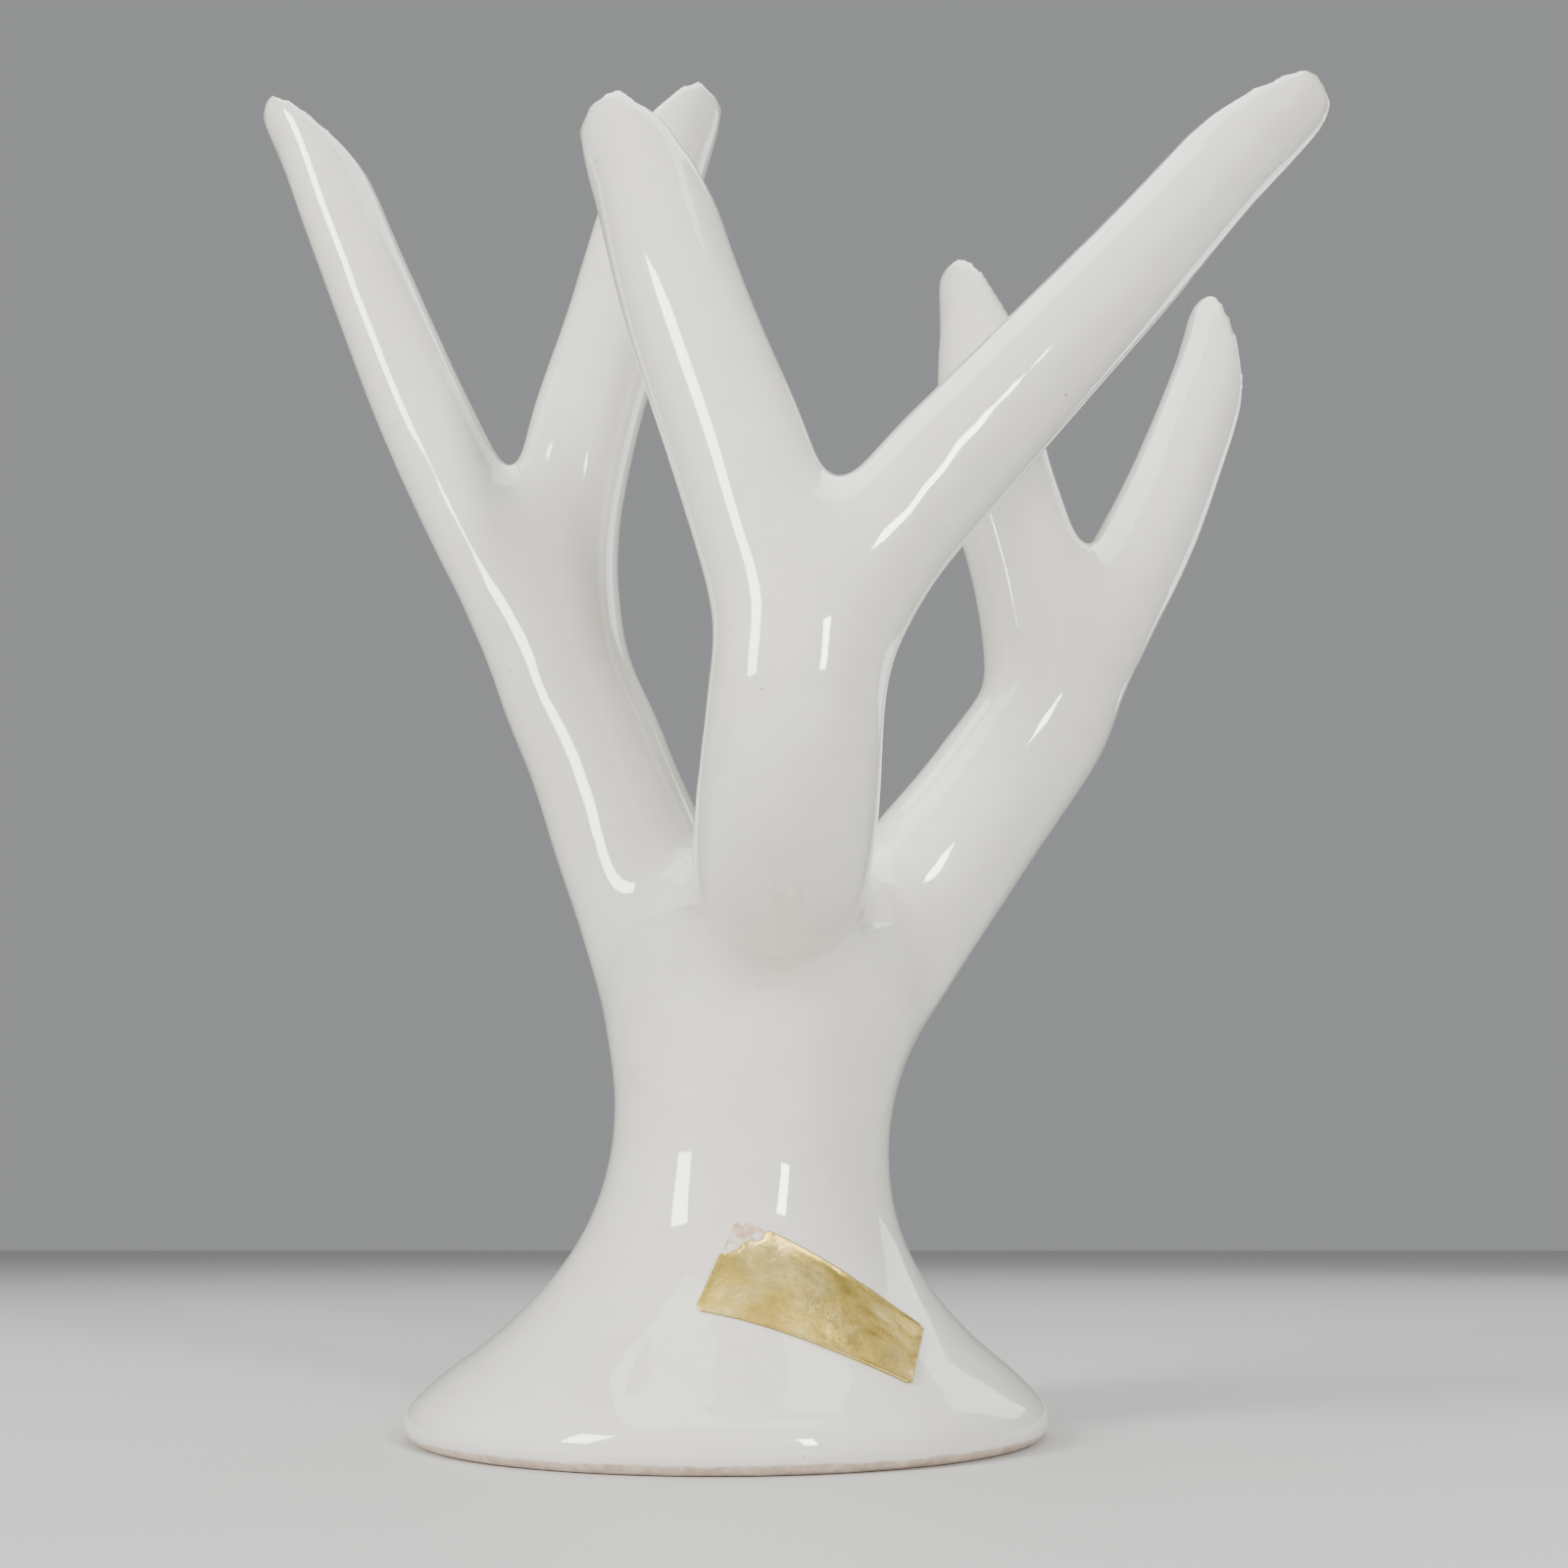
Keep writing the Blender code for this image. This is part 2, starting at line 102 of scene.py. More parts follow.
THIN_BEND = 0.045 * MM            # outward bend for one voxel at which the glaze starts to thin
THIN_RANGE = 0.05 * MM            # further bend over which it becomes thinnest
THIN_STEPS = 2                    # of averaging of that thinness
THIN_GAIN = 1.3                   # that gives back what the averaging takes
THICK_BELOW = 20 * MM             # height below which no edge is thin

BARE_BAND = 1.3 * MM              # height of the unglazed foot ring
BARE_RAGGED = 0.8 * MM            # of the edge of the glaze above it

STAIN_OFFSET = Vector((-9, -16, -15)) * MM    # of a faint stain from the joint of the right fork
STAIN_RADIUS = 6 * MM
MARK_LEFT = 0.13                  # place of a small brown mark, as a share of the trunk's reach
MARK_HEIGHT = 0.72                # and of the trunk's height
MARK_DEPTH = -26 * MM
MARK_RADIUS = 0.8 * MM
WORN_OFFSET = Vector((-1, 0, -3)) * MM        # of the worn tip from the corner of the front fork
WORN_DEPTH = -38.5 * MM
WORN_RADIUS = 7 * MM


# ---------------------------------------------------------------- mesh arrays

def read_points(mesh):
    flat = np.empty(len(mesh.vertices) * 3)
    mesh.vertices.foreach_get("co", flat)
    return flat.reshape(-1, 3)


def write_points(mesh, points):
    mesh.vertices.foreach_set("co", points.ravel())
    mesh.update()


def read_normals(mesh):
    flat = np.empty(len(mesh.vertices) * 3)
    mesh.vertex_normals.foreach_get("vector", flat)
    return flat.reshape(-1, 3)


def read_edges(mesh):
    flat = np.empty(len(mesh.edges) * 2, dtype=np.int64)
    mesh.edges.foreach_get("vertices", flat)
    return flat.reshape(-1, 2)


def pull(points, edges, degree):
    """From each point to the middle of its neighbours."""
    total = np.empty_like(points)
    for axis in range(points.shape[1]):
        total[:, axis] = (
            np.bincount(edges[:, 0], points[edges[:, 1], axis], len(points))
            + np.bincount(edges[:, 1], points[edges[:, 0], axis], len(points)))
    return total / degree[:, None] - points


def spread(values, edges, degree, steps):
    """Values over the points of a mesh, averaged with their neighbours."""
    column = values.reshape(-1, 1).copy()
    for _ in range(steps):
        column += AVERAGE_SHARE * pull(column, edges, degree)
    return column[:, 0]


def evaluated_mesh(item):
    """A new mesh of the object with its modifiers applied."""
    depsgraph = bpy.context.evaluated_depsgraph_get()
    return bpy.data.meshes.new_from_object(item.evaluated_get(depsgraph))


def link(item):
    bpy.context.scene.collection.objects.link(item)
    return item


# ---------------------------------------------------------------- joints

def ring_plane(side):
    """Middle and axis of a luting joint, from its slip ring. The axis points into the fork."""
    points = read_points(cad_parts[side + "_slip_ring"].data)
    middle = points.mean(axis=0)
    axis = np.linalg.svd(points - middle, full_matrices=False)[2][2]
    fork = read_points(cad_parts[side + "_fork"].data).mean(axis=0)
    if np.dot(fork - middle, axis) < 0:
        axis = -axis
    along = (points - middle) @ axis
    return Vector(middle), Vector(axis), along.max() - along.min()


JOINTS = {side: ring_plane(side) for side in SIDES}


# ---------------------------------------------------------------- glazed body

def joined_castings():
    """All castings and slip rings in one mesh, the rings lengthened so that they overlap."""
    work = bmesh.new()
    for name in CASTINGS:
        work.from_mesh(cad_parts[name].data)
    for side in SIDES:
        middle, axis, length = JOINTS[side]
        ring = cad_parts[side + "_slip_ring"].data.copy()
        points = read_points(ring)
        along = (points - np.array(middle)) @ np.array(axis)
        stretch = (length + 2.0 * RING_OVERLAP) / length - 1.0
        points += np.outer(along * stretch, np.array(axis))
        write_points(ring, points)
        work.from_mesh(ring)
        bpy.data.meshes.remove(ring)
    bmesh.ops.remove_doubles(work, verts=work.verts, dist=0.002 * MM)
    mesh = bpy.data.meshes.new("castings")
    work.to_mesh(mesh)
    work.free()
    return mesh


def remeshed(mesh):
    """The outer and inner surface of a mesh as one even net of voxel faces."""
    item = link(bpy.data.objects.new("remesh", mesh))
    remesh = item.modifiers.new("Remesh", "REMESH")
    remesh.mode = "VOXEL"
    remesh.voxel_size = VOXEL
    result = evaluated_mesh(item)
    bpy.data.objects.remove(item)
    return result


def averaged(points, edges, degree, steps):
    result = points.copy()
    for _ in range(steps):
        result += AVERAGE_SHARE * pull(result, edges, degree)
    return result


def evened(points, edges, degree, steps, rounds=2):
    """Averages once, and then again for each further round to give back what that shrinks."""
    result = averaged(points, edges, degree, steps)
    missing = points - result
    for _ in range(rounds - 1):
        returned = averaged(missing, edges, degree, steps)
        result += returned
        missing -= returned
    return result


def fill_creases(mesh, points, edges, degree):
    """Rounds the sharp inward creases between branches, as glaze and slip do."""
    floor = points[:, 2] < VOXEL
    for step in range(FILLET_STEPS):
        if step % NORMAL_STEPS == 0:
            write_points(mesh, points)
            normals = read_normals(mesh)
        move = pull(points, edges, degree)
        bend = np.einsum("ij,ij->i", move, normals)
        share = np.clip((bend - FILLET_LIMIT) / FILLET_LIMIT, 0.0, 1.0)
        share[floor] = 0.0
        points += share[:, None] * move * FILLET_SHARE
    write_points(mesh, points)


def fair_weight(mesh, points, edges, degree):
    """1 on the trunk and the branches, 0 on the rims of the mouths and the edge of the foot."""
    bend = np.einsum("ij,ij->i", pull(points, edges, degree), read_normals(mesh))
    height = points[:, 2] - CAD_BOX[0].z
    rims = np.where((bend < -SHARP_BEND) & (height > RIM_HEIGHT))[0]
    tree = KDTree(len(rims))
    for number in rims:
        tree.insert(points[number], int(number))
    tree.balance()
    away = np.array([tree.find(point)[2] for point in points])
    weight = np.clip((away - RIM_REACH) / RIM_FADE, 0.0, 1.0)
    weight *= np.clip((height - 2.0 * VOXEL) / FOOT_FADE, 0.0, 1.0)
    return weight * weight * (3.0 - 2.0 * weight)


def relax(mesh):
    """Evens out facets, fills creases, then fairs the trunk and the branches over longer waves."""
    edges = read_edges(mesh)
    points = read_points(mesh)
    degree = np.bincount(edges.ravel(), minlength=len(points)).astype(float)
    points = evened(points, edges, degree, EVEN_STEPS)
    fill_creases(mesh, points, edges, degree)
    weight = fair_weight(mesh, points, edges, degree)
    points += weight[:, None] * (evened(points, edges, degree, FAIR_STEPS, FAIR_ROUNDS) - points)
    points[:, 2] = np.maximum(points[:, 2], CAD_BOX[0].z)
    write_points(mesh, points)
    return points, edges, degree


def mark_front_seam(mesh, points):
    """The soft luting line under the root of the front fork, and a small pimple of slip."""
    middle, axis, _ = JOINTS["front"]
    offset = points - np.array(middle)
    along = offset @ np.array(axis)
    across = offset - np.outer(along, np.array(axis))
    radius = np.linalg.norm(across, axis=1)
    down = np.clip(-across[:, 2] / np.maximum(radius, 1e-6) + SEAM_TURN, 0.0, 1.0)
    near = np.exp(-((along + SEAM_SHIFT) / SEAM_WIDTH) ** 2)
    outside = (radius > SEAM_RADII[0]) & (radius < SEAM_RADII[1])
    normals = read_normals(mesh)
    points -= normals * (SEAM_DEPTH * near * down * outside)[:, None]
    surface = (radius > PIMPLE_RADII[0]) & (radius < PIMPLE_RADII[1])
    surface &= np.abs(along) < PIMPLE_BAND
    corner = np.array(middle) + np.array(PIMPLE_PLACE)
    candidates = np.where(surface)[0]
    spot = points[candidates[np.argmin(np.linalg.norm(points[candidates] - corner, axis=1))]]
    away = np.linalg.norm(points - spot, axis=1)
    points += normals * (PIMPLE_HEIGHT * np.exp(-(away / PIMPLE_RADIUS) ** 2))[:, None]
    write_points(mesh, points)


def add_wear(mesh, points, edges, degree):
    """A value for each point that is high on sharp outer edges, where the glaze has run thin."""
    bend = np.einsum("ij,ij->i", pull(points, edges, degree), read_normals(mesh))
    edge = np.clip((-bend - THIN_BEND) / THIN_RANGE, 0.0, 1.0)
    edge[points[:, 2] < CAD_BOX[0].z + THICK_BELOW] = 0.0
    edge = np.clip(spread(edge, edges, degree, THIN_STEPS) * THIN_GAIN, 0.0, 1.0)
    layer = mesh.attributes.new("glaze_thin", "FLOAT", "POINT")
    layer.data.foreach_set("value", edge.astype(np.float32))


def cut_at_joints(mesh):
    """Cuts the body along the planes of the joints, close to each joint only."""
    work = bmesh.new()
    work.from_mesh(mesh)
    for side in SIDES:
        middle, axis, _ = JOINTS[side]
        faces = [face for face in work.faces
                 if (face.calc_center_median() - middle).length < JOINT_REACH]
        verts = {vert for face in faces for vert in face.verts}
        lines = {edge for face in faces for edge in face.edges}
        bmesh.ops.bisect_plane(work, geom=list(verts) + list(lines) + faces, dist=0.002 * MM,
                               plane_co=middle, plane_no=axis)
    work.to_mesh(mesh)
    work.free()


def casting_of_faces(mesh):
    """The number of the casting that each face belongs to."""
    trees = []
    for name in CASTINGS:
        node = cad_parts[name].data
        node.calc_loop_triangles()
        trees.append(BVHTree.FromPolygons(
            [vertex.co for vertex in node.vertices],
            [tuple(triangle.vertices) for triangle in node.loop_triangles]))
    owner = []
    for face in mesh.polygons:
        place = face.center
        choice = None
        for number, side in enumerate(SIDES, start=1):
            middle, axis, _ = JOINTS[side]
            if (place - middle).length < JOINT_CORE:
                gaps = [tree.find_nearest(place)[3] for tree in (trees[0], trees[number])]
                if min(gaps) < NEAR_CASTING:
                    choice = number if (place - middle).dot(axis) > 0.0 else 0
                break
        if choice is None:
            gaps = [tree.find_nearest(place)[3] for tree in trees]
            choice = gaps.index(min(gaps))
        owner.append(choice)
    return np.array(owner)


def close_at_joints(mesh):
    """Closes the wall of a piece with a flat ring at each joint."""
    work = bmesh.new()
    work.from_mesh(mesh)
    for middle, _, _ in JOINTS.values():
        rim = [edge for edge in work.edges
               if edge.is_boundary and (edge.verts[0].co - middle).length < JOINT_REACH]
        if rim:
            bmesh.ops.bridge_loops(work, edges=rim)
    work.to_mesh(mesh)
    work.free()


def shading_normals(mesh):
    """Normals averaged over a few millimetres, so that highlights run clean."""
    edges = read_edges(mesh)
    normals = read_normals(mesh)
    degree = np.bincount(edges.ravel(), minlength=len(normals)).astype(float)
    normals = averaged(normals, edges, degree, SHADE_STEPS)
    return normals / np.linalg.norm(normals, axis=1)[:, None]


def casting_piece(name, mesh, normals, keep, material):
    """One casting's faces as a closed piece, shaded as a part of the whole body."""
    faces = [tuple(mesh.polygons[int(number)].vertices) for number in np.where(keep)[0]]
    used = sorted({corner for face in faces for corner in face})
    place = {corner: number for number, corner in enumerate(used)}
    piece = bpy.data.meshes.new(name)
    piece.from_pydata([mesh.vertices[corner].co for corner in used], [],
                      [[place[corner] for corner in face] for face in faces])
    thin = mesh.attributes["glaze_thin"].data
    layer = piece.attributes.new("glaze_thin", "FLOAT", "POINT")
    layer.data.foreach_set("value", [thin[corner].value for corner in used])
    close_at_joints(piece)
    piece.shade_smooth()
    piece.normals_split_custom_set_from_vertices([tuple(normals[corner]) for corner in used])
    piece.materials.append(material)
    return link(bpy.data.objects.new(name, piece))


def glazed_pieces(material):
    mesh = remeshed(joined_castings())
    points, edges, degree = relax(mesh)
    mark_front_seam(mesh, points)
    add_wear(mesh, points, edges, degree)
    cut_at_joints(mesh)
    mesh.update()
    owner = casting_of_faces(mesh)
    normals = shading_normals(mesh)
    made = [casting_piece(name + "_glazed", mesh, normals, owner == number, material)
            for number, name in enumerate(CASTINGS)]
    return mesh, made


# ---------------------------------------------------------------- materials

class Nodes:
    """A short way to wire a material."""

    def __init__(self, name):
        self.material = bpy.data.materials.new(name)
        self.material.use_nodes = True
        self.tree = self.material.node_tree
        self.shader = self.tree.nodes["Principled BSDF"]
        self.position = self.add("ShaderNodeNewGeometry").outputs["Position"]

    def add(self, kind, **settings):
        node = self.tree.nodes.new(kind)
        for key, value in settings.items():
            setattr(node, key, value)
        return node

    def join(self, source, target):
        self.tree.links.new(source, target)

    def noise(self, size, detail=3.0, roughness=0.5):
        """Noise whose features are about this many metres across."""
        node = self.add("ShaderNodeTexNoise")
        node.inputs["Scale"].default_value = 1.0 / size
        node.inputs["Detail"].default_value = detail
        node.inputs["Roughness"].default_value = roughness
        self.join(self.position, node.inputs["Vector"])
        return node.outputs["Fac"]

    def cells(self, size):
        """Distance to the nearest of scattered points, about this many metres apart."""
        node = self.add("ShaderNodeTexVoronoi")
        node.inputs["Scale"].default_value = 1.0 / size
        self.join(self.position, node.inputs["Vector"])
        return node.outputs["Distance"]

    def ramp(self, source, *stops):
        """Maps a value to a colour or a grey through (place, colour) stops."""
        node = self.add("ShaderNodeValToRGB")
        while len(node.color_ramp.elements) < len(stops):
            node.color_ramp.elements.new(0.5)
        for element, (place, colour) in zip(node.color_ramp.elements, stops):
            element.position = place
            grey = isinstance(colour, (int, float))
            element.color = (colour, colour, colour, 1.0) if grey else (*colour, 1.0)
        self.join(source, node.inputs["Fac"])
        return node.outputs["Color"]

    def math(self, operation, first, second, clamp=False):
        node = self.add("ShaderNodeMath", operation=operation, use_clamp=clamp)
        for socket, value in zip(node.inputs, (first, second)):
            if isinstance(value, (int, float)):
                socket.default_value = value
            else:
                self.join(value, socket)
        return node.outputs[0]

    def mix(self, share, first, second, blend="MIX"):
        node = self.add("ShaderNodeMixRGB", blend_type=blend)
        for socket, value in zip(node.inputs, (share, first, second)):
            if isinstance(value, (int, float)):
                socket.default_value = value
            elif isinstance(value, tuple):
                socket.default_value = (*value, 1.0)
            else:
                self.join(value, socket)
        return node.outputs["Color"]

    def bump(self, *layers):
        """Stacks (height, distance) layers of bump."""
        normal = None
        for height, distance in layers:
            node = self.add("ShaderNodeBump")
            node.inputs["Distance"].default_value = distance
            node.inputs["Strength"].default_value = 1.0
            self.join(height, node.inputs["Height"])
            if normal is not None:
                self.join(normal, node.inputs["Normal"])
            normal = node.outputs["Normal"]
        self.join(normal, self.shader.inputs["Normal"])

    def height_above(self, level):
        """Height of the surface above a level, in metres."""
        split = self.add("ShaderNodeSeparateXYZ")
        self.join(self.position, split.inputs[0])
        return self.math("SUBTRACT", split.outputs["Z"], level)

    def at(self, place, radius):
        """1 at a place, falling to 0 at the radius around it."""
        away = self.add("ShaderNodeVectorMath", operation="DISTANCE")
        self.join(self.position, away.inputs[0])
        away.inputs[1].default_value = tuple(place)
        return self.math("SUBTRACT", 1.0, self.math("DIVIDE", away.outputs["Value"], radius),
                         clamp=True)


def glaze():
    """Thick warm-white glaze: pinholes, faint clouding, thin tan rims and a bare foot ring."""
    wire = Nodes("white_glaze")
    clouds = wire.noise(38 * MM, 3.0)
    colour = wire.ramp(clouds, (0.30, (0.800, 0.780, 0.690)), (0.55, (0.830, 0.815, 0.735)),
                       (0.75, (0.850, 0.840, 0.770)))
    mottle = wire.ramp(wire.noise(5 * MM, 4.0), (0.35, 0.965), (0.65, 1.0))
    colour = wire.mix(1.0, colour, mottle, "MULTIPLY")

    pinholes = wire.ramp(wire.cells(2.6 * MM), (0.045, 1.0), (0.075, 0.0))
    scarce = wire.ramp(wire.noise(9 * MM, 2.0), (0.50, 0.0), (0.62, 1.0))
    pinholes = wire.math("MULTIPLY", pinholes, scarce)
    colour = wire.mix(wire.math("MULTIPLY", pinholes, 0.55), colour, (0.33, 0.27, 0.20))

    specks = wire.ramp(wire.cells(13 * MM), (0.014, 1.0), (0.024, 0.0))
    colour = wire.mix(wire.math("MULTIPLY", specks, 0.75), colour, (0.16, 0.10, 0.06))

    middle, _, _ = JOINTS["right"]
    stain = wire.math("MULTIPLY", wire.at(middle + STAIN_OFFSET, STAIN_RADIUS), 0.35)
    colour = wire.mix(stain, colour, (0.78, 0.68, 0.44))
    trunk_low, trunk_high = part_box("trunk_casting")
    mark_place = (trunk_low.x * MARK_LEFT, MARK_DEPTH, trunk_high.z * MARK_HEIGHT)
    mark = wire.at(mark_place, MARK_RADIUS)
    colour = wire.mix(wire.ramp(mark, (0.15, 0.0), (0.5, 0.8)), colour, (0.22, 0.13, 0.07))

    thin = wire.add("ShaderNodeAttribute", attribute_name="glaze_thin").outputs["Fac"]
    broken = wire.ramp(wire.noise(2.2 * MM, 3.0), (0.35, 0.35), (0.62, 1.0))
    thin = wire.math("MULTIPLY", thin, broken)
    colour = wire.mix(wire.math("MULTIPLY", thin, 0.62), colour, (0.66, 0.50, 0.33))
    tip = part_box("front_fork")[1]
    worn = wire.at(Vector((tip.x, WORN_DEPTH, tip.z)) + WORN_OFFSET, WORN_RADIUS)
    chips = wire.ramp(wire.noise(1.3 * MM, 4.0), (0.42, 0.0), (0.55, 1.0))
    worn = wire.math("MULTIPLY", wire.ramp(worn, (0.1, 0.0), (0.5, 1.0)), chips)
    colour = wire.mix(worn, colour, (0.42, 0.30, 0.18))

    above = wire.height_above(CAD_BOX[0].z + BARE_BAND)
    ragged = wire.math("ADD", above, wire.math("MULTIPLY", wire.noise(4 * MM, 3.0), BARE_RAGGED))
    bare = wire.ramp(wire.math("DIVIDE", ragged, MM), (0.30, 1.0), (0.55, 0.0))
    clay = wire.ramp(wire.noise(1.4 * MM, 4.0), (0.3, (0.50, 0.36, 0.27)), (0.7, (0.70, 0.58, 0.48)))
    colour = wire.mix(bare, colour, clay)
    wire.join(colour, wire.shader.inputs["Base Color"])

    smear = wire.ramp(wire.noise(24 * MM, 4.0), (0.40, 0.045), (0.72, 0.095))
    rough = wire.math("ADD", smear, wire.math("MULTIPLY", pinholes, 0.3), clamp=True)
    rough = wire.math("ADD", rough, wire.math("MULTIPLY", bare, 0.65), clamp=True)
    rough = wire.math("ADD", rough, wire.math("MULTIPLY", worn, 0.5), clamp=True)
    wire.join(rough, wire.shader.inputs["Roughness"])
    wire.shader.inputs["IOR"].default_value = 1.52
    wire.shader.inputs["Coat Weight"].default_value = 0.35
    wire.shader.inputs["Coat Roughness"].default_value = 0.03
    pits = wire.math("SUBTRACT", 1.0, pinholes)
    wire.bump((wire.noise(9 * MM, 1.0), 0.012 * MM), (pits, 0.06 * MM))
    return wire.material


def foil():
    """Gold foil, rubbed and creased, darker where it has tarnished."""
    wire = Nodes("gold_foil")
    tone = wire.ramp(wire.noise(6 * MM, 5.0, 0.6), (0.30, (0.62, 0.43, 0.08)),
                     (0.50, (0.84, 0.62, 0.15)), (0.70, (0.95, 0.77, 0.30)))
    grain = wire.ramp(wire.noise(0.5 * MM, 4.0), (0.3, 0.80), (0.7, 1.0))
    tone = wire.mix(1.0, tone, grain, "MULTIPLY")
    rubbed = wire.ramp(wire.noise(1.6 * MM, 5.0, 0.7), (0.64, 0.0), (0.72, 1.0))
    tone = wire.mix(wire.math("MULTIPLY", rubbed, 0.45), tone, (0.75, 0.64, 0.38))
    wire.join(tone, wire.shader.inputs["Base Color"])
    wire.shader.inputs["Metallic"].default_value = 0.85
    wire.join(wire.ramp(wire.noise(2.5 * MM, 4.0), (0.3, 0.26), (0.7, 0.46)),
              wire.shader.inputs["Roughness"])
    wire.bump((wire.noise(1.1 * MM, 4.0, 0.6), 0.10 * MM), (wire.noise(0.25 * MM, 2.0), 0.02 * MM))
    return wire.material


def torn_paper():
    """Paper backing and old glue, patchy orange and white."""
    wire = Nodes("paper_residue")
    patches = wire.noise(1.5 * MM, 5.0, 0.65)
    tone = wire.ramp(patches, (0.32, (0.55, 0.30, 0.16)), (0.5, (0.74, 0.56, 0.42)),
                     (0.66, (0.82, 0.74, 0.64)))
    wire.join(tone, wire.shader.inputs["Base Color"])
    wire.join(wire.ramp(patches, (0.3, 0.55), (0.7, 0.9)), wire.shader.inputs["Roughness"])
    wire.bump((wire.noise(0.5 * MM, 4.0), 0.12 * MM))
    return wire.material


def plain(name, colour, roughness):
    """A matt paint with very faint clouding, for the floor."""
    wire = Nodes(name)
    tone = wire.mix(1.0, colour, wire.ramp(wire.noise(0.4, 2.0), (0.3, 0.97), (0.7, 1.0)),
                    "MULTIPLY")
    wire.join(tone, wire.shader.inputs["Base Color"])
    wire.shader.inputs["Roughness"].default_value = roughness
    return wire.material


# ---------------------------------------------------------------- label

FOIL_CELL = 0.3 * MM              # of the grid that both sheets are cut from
SHEET_START = 10 * MM             # how far off the foot that grid lies before it is wrapped
SHEET_SMOOTHING = 3
FOIL_GAP = 0.10 * MM
FOIL_THICKNESS = 0.12 * MM
FOIL_LIFT = 0.21 * MM             # of the edges
FOIL_EDGE = 1.2 * MM              # width of the lifted edge
FOIL_ROUND = 1.0 * MM             # radius of the label's corners
WRINKLE_SIZE = 3.2 * MM
WRINKLE_HEIGHT = 0.22 * MM
CREASE_SIZE = 1.1 * MM
CREASE_HEIGHT = 0.07 * MM
TEAR_SIZES = (1.3 * MM, 0.5 * MM)     # of the coarse and fine teeth of the torn line
TEAR_DEPTHS = (0.7 * MM, 0.25 * MM)
TEAR_SCALE = 0.7                  # from the torn corner's shorter side to the line's distance
RESIDUE_GAP = 0.02 * MM
RESIDUE_LIFT = 0.02 * MM
RESIDUE_GRAIN = 0.8 * MM
RESIDUE_PATCH = 1.8 * MM
RESIDUE_COVER = 0.42              # more covers more of the torn corner
RESIDUE_OVERLAP = 1.6 * MM        # how far the residue runs on under the foil
RESIDUE_THICKNESS = 0.06 * MM


def label_frame():
    """Middle, axes and half sizes of the label, from its two CAD nodes."""
    foil_points = read_points(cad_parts["foil_label"].data)
    torn_points = read_points(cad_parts["label_residue"].data)
    points = np.vstack([foil_points, torn_points])
    spread_axes = np.linalg.svd(foil_points - foil_points.mean(axis=0), full_matrices=False)[2]
    length_axis, height_axis = spread_axes[0], spread_axes[1]
    if length_axis[0] < 0:
        length_axis = -length_axis
    if height_axis[2] < 0:
        height_axis = -height_axis
    normal = np.cross(length_axis, height_axis)
    along = points @ length_axis
    up = points @ height_axis
    out = points @ normal
    middle = (length_axis * (along.min() + along.max()) / 2.0
              + height_axis * (up.min() + up.max()) / 2.0 + normal * out.max())
    torn = torn_points @ length_axis
    torn_up = torn_points @ height_axis
    half = ((along.max() - along.min()) / 2.0, (up.max() - up.min()) / 2.0)
    tear = (torn.max() - torn.min(), torn_up.max() - torn_up.min())
    return Vector(middle), Vector(length_axis), Vector(height_axis), Vector(normal), half, tear


def sheet_on_body(name, tree, inside, gap, lift, thickness, material):
    """A sheet over the label's area, wrapped on the body where inside(x, y) is positive."""
    middle, across, upward, normal, half, _ = label_frame()
    columns = round(2.0 * half[0] / FOIL_CELL)
    rows = round(2.0 * half[1] / FOIL_CELL)
    work = bmesh.new()
    bmesh.ops.create_grid(work, x_segments=columns, y_segments=rows, size=1.0)
    doomed = []
    for face in work.faces:
        spot = face.calc_center_median()
        if inside(spot.x * half[0], spot.y * half[1]) <= 0.0:
            doomed.append(face)
    bmesh.ops.delete(work, geom=doomed, context="FACES")
    for vert in work.verts:
        x = vert.co.x * half[0]
        y = vert.co.y * half[1]
        start = middle + across * x + upward * y + normal * SHEET_START
        place, facing, _, _ = tree.ray_cast(start, -normal)
        if place is None:
            place, facing, _, _ = tree.find_nearest(start)
        vert.co = place + facing * (gap + lift(x, y))
    for _ in range(SHEET_SMOOTHING):
        bmesh.ops.smooth_vert(work, verts=work.verts, factor=0.5, use_axis_x=True,
                              use_axis_y=True, use_axis_z=True)
    mesh = bpy.data.meshes.new(name)
    work.to_mesh(mesh)
    work.free()
    mesh.shade_smooth()
    item = link(bpy.data.objects.new(name, mesh))
    solid = item.modifiers.new("Thickness", "SOLIDIFY")
    solid.thickness = thickness
    solid.offset = 1.0
    mesh.materials.append(material)
    return item


def torn_line(x, y, half, tear):
    """Distance of a point from the torn line, positive on the side of the foil."""
    corner_x = x + half[0]
    corner_y = half[1] - y
    straight = corner_x / tear[0] + corner_y / tear[1] - 1.0
    jagged = noise.noise(Vector((x, y, 0.0)) / TEAR_SIZES[0]) * TEAR_DEPTHS[0]
    jagged += noise.noise(Vector((x, y, 5.0)) / TEAR_SIZES[1]) * TEAR_DEPTHS[1]
    return straight * min(tear) * TEAR_SCALE + jagged


def inside_rounded(x, y, half):
    """Distance inside the label's outline, with its corners rounded."""
    over_x = max(abs(x) - half[0] + FOIL_ROUND, 0.0)
    over_y = max(abs(y) - half[1] + FOIL_ROUND, 0.0)
    return FOIL_ROUND - math.hypot(over_x, over_y)


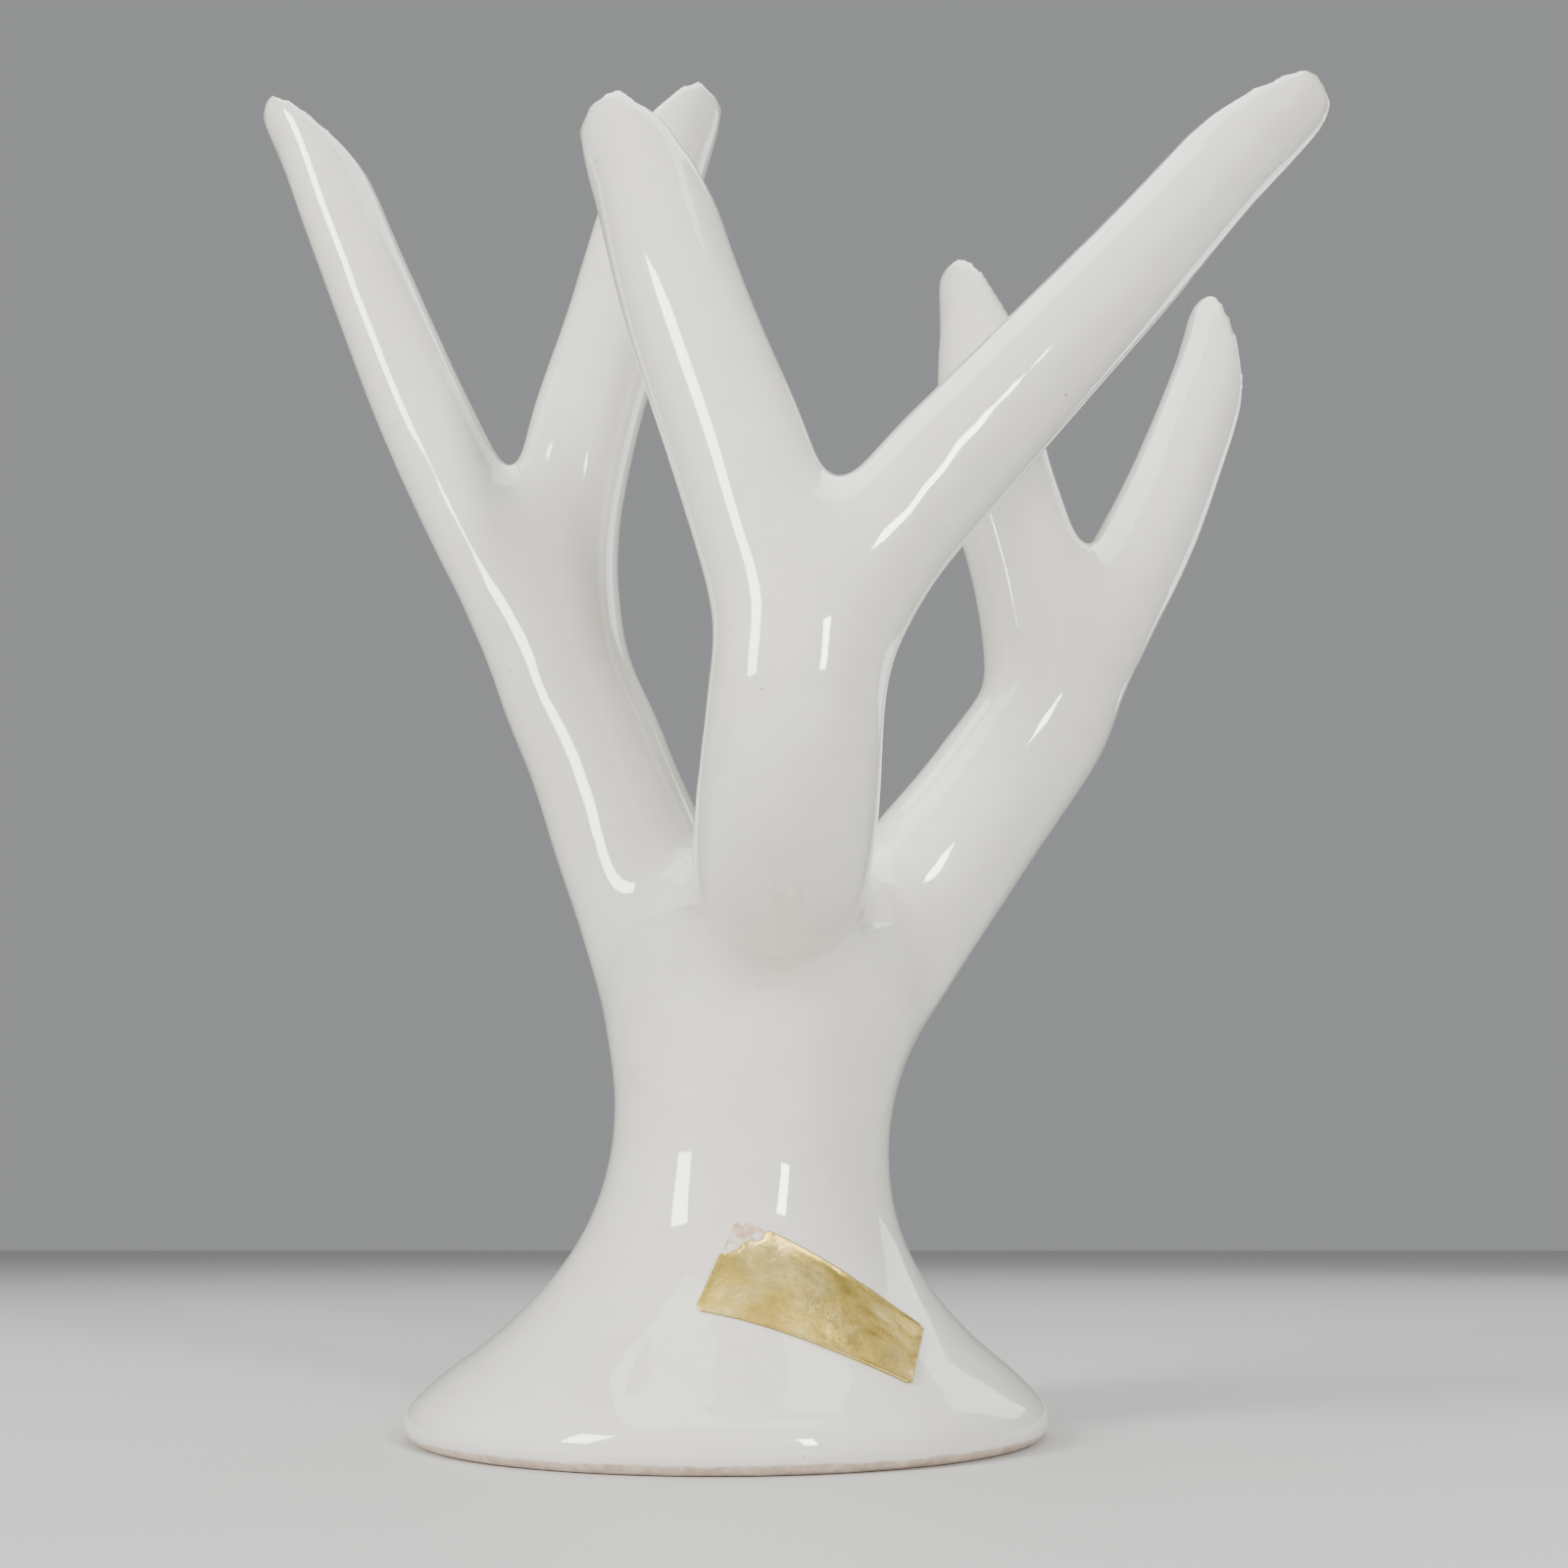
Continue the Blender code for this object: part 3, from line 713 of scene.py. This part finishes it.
def label_pieces(body_mesh):
    """The gold foil without its torn corner, and the patchy residue in that corner."""
    tree = BVHTree.FromPolygons([vertex.co for vertex in body_mesh.vertices],
                                [tuple(face.vertices) for face in body_mesh.polygons])
    _, _, _, _, half, tear = label_frame()

    def foil_inside(x, y):
        return min(inside_rounded(x, y, half), torn_line(x, y, half, tear))

    def foil_lift(x, y):
        edge = max(0.0, 1.0 - foil_inside(x, y) / FOIL_EDGE)
        wrinkle = noise.noise(Vector((x * 0.6 + y, y - x * 0.3, 2.0)) / WRINKLE_SIZE)
        fine = noise.noise(Vector((x, y, 9.0)) / CREASE_SIZE)
        return FOIL_LIFT * edge ** 2 + abs(wrinkle) * WRINKLE_HEIGHT + abs(fine) * CREASE_HEIGHT

    def residue_inside(x, y):
        patchy = noise.noise(Vector((x, y, 12.0)) / RESIDUE_PATCH) + RESIDUE_COVER
        near = RESIDUE_OVERLAP - torn_line(x, y, half, tear)
        return min(inside_rounded(x, y, half), near, patchy)

    def residue_lift(x, y):
        return RESIDUE_LIFT * abs(noise.noise(Vector((x, y, 3.0)) / RESIDUE_GRAIN))

    gold = sheet_on_body("gold_foil_label", tree, foil_inside, FOIL_GAP, foil_lift,
                         FOIL_THICKNESS, foil())
    residue = sheet_on_body("torn_label_residue", tree, residue_inside, RESIDUE_GAP, residue_lift,
                            RESIDUE_THICKNESS, torn_paper())
    return gold, residue


# ---------------------------------------------------------------- stage

CAMERA_PLACE = Vector((8.4, -252, 27.7)) * MM
CAMERA_PITCH = math.radians(16.2)     # above level
CAMERA_LENS = 36.0                    # in millimetres, as the sensor's width is
CAMERA_SENSOR = 36.0
LIGHT_TARGET = Vector((0, 0, 120)) * MM
FLOOR_HALF = 4.0
WARM_WHITE = (1.0, 0.99, 0.97)
WHITE = (1.0, 1.0, 1.0)
COOL_WHITE = (0.95, 0.97, 1.0)


def add_floor():
    mesh = bpy.data.meshes.new("floor")
    work = bmesh.new()
    bmesh.ops.create_grid(work, x_segments=2, y_segments=2, size=FLOOR_HALF)
    bmesh.ops.translate(work, verts=work.verts, vec=(0.0, 0.0, CAD_BOX[0].z))
    work.to_mesh(mesh)
    work.free()
    mesh.materials.append(plain("pale_floor", (0.62, 0.62, 0.61), 0.55))
    link(bpy.data.objects.new("floor", mesh))


def add_light(name, place, size, power, colour):
    """A soft rectangular light that faces the middle of the vase."""
    light = bpy.data.lights.new(name, "AREA")
    light.shape = "RECTANGLE"
    light.size, light.size_y = size
    light.energy = power
    light.color = colour
    item = link(bpy.data.objects.new(name, light))
    item.location = place
    item.rotation_euler = (LIGHT_TARGET - Vector(place)).to_track_quat("-Z", "Y").to_euler()


def add_lights():
    add_light("window_left", (-0.75, -0.60, 0.55), (0.22, 0.50), 14.0, WARM_WHITE)
    add_light("window_right", (0.42, -0.75, 0.42), (0.10, 0.34), 7.0, WARM_WHITE)
    add_light("soft_top", (0.0, 0.10, 1.1), (0.9, 0.9), 9.0, WHITE)
    add_light("soft_back", (0.8, 0.7, 0.6), (0.4, 0.6), 2.0, COOL_WHITE)


def add_world():
    world = bpy.data.worlds.new("studio")
    world.use_nodes = True
    back = world.node_tree.nodes["Background"]
    back.inputs["Color"].default_value = (0.30, 0.305, 0.31, 1.0)
    back.inputs["Strength"].default_value = 1.0
    bpy.context.scene.world = world


def add_camera():
    camera = bpy.data.cameras.new("camera")
    camera.sensor_width = CAMERA_SENSOR
    camera.lens = CAMERA_LENS
    item = link(bpy.data.objects.new("camera", camera))
    item.location = CAMERA_PLACE
    item.rotation_euler = (math.radians(90.0) + CAMERA_PITCH, 0.0, 0.0)
    bpy.context.scene.camera = item


# ---------------------------------------------------------------- assembly

def main():
    add_camera()
    add_world()
    add_lights()
    add_floor()
    body_mesh, castings = glazed_pieces(glaze())
    for name, item in zip(CASTINGS, castings):
        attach(item, "root")
        if name == "trunk_casting":
            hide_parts(name, *(side + "_slip_ring" for side in SIDES))
        else:
            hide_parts(name)
    gold, residue = label_pieces(body_mesh)
    for item, node, slot in ((gold, "foil_label", "gold_foil"),
                             (residue, "label_residue", "paper_residue")):
        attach(item, "root")
        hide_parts(node)
    bpy.data.meshes.remove(body_mesh)


main()
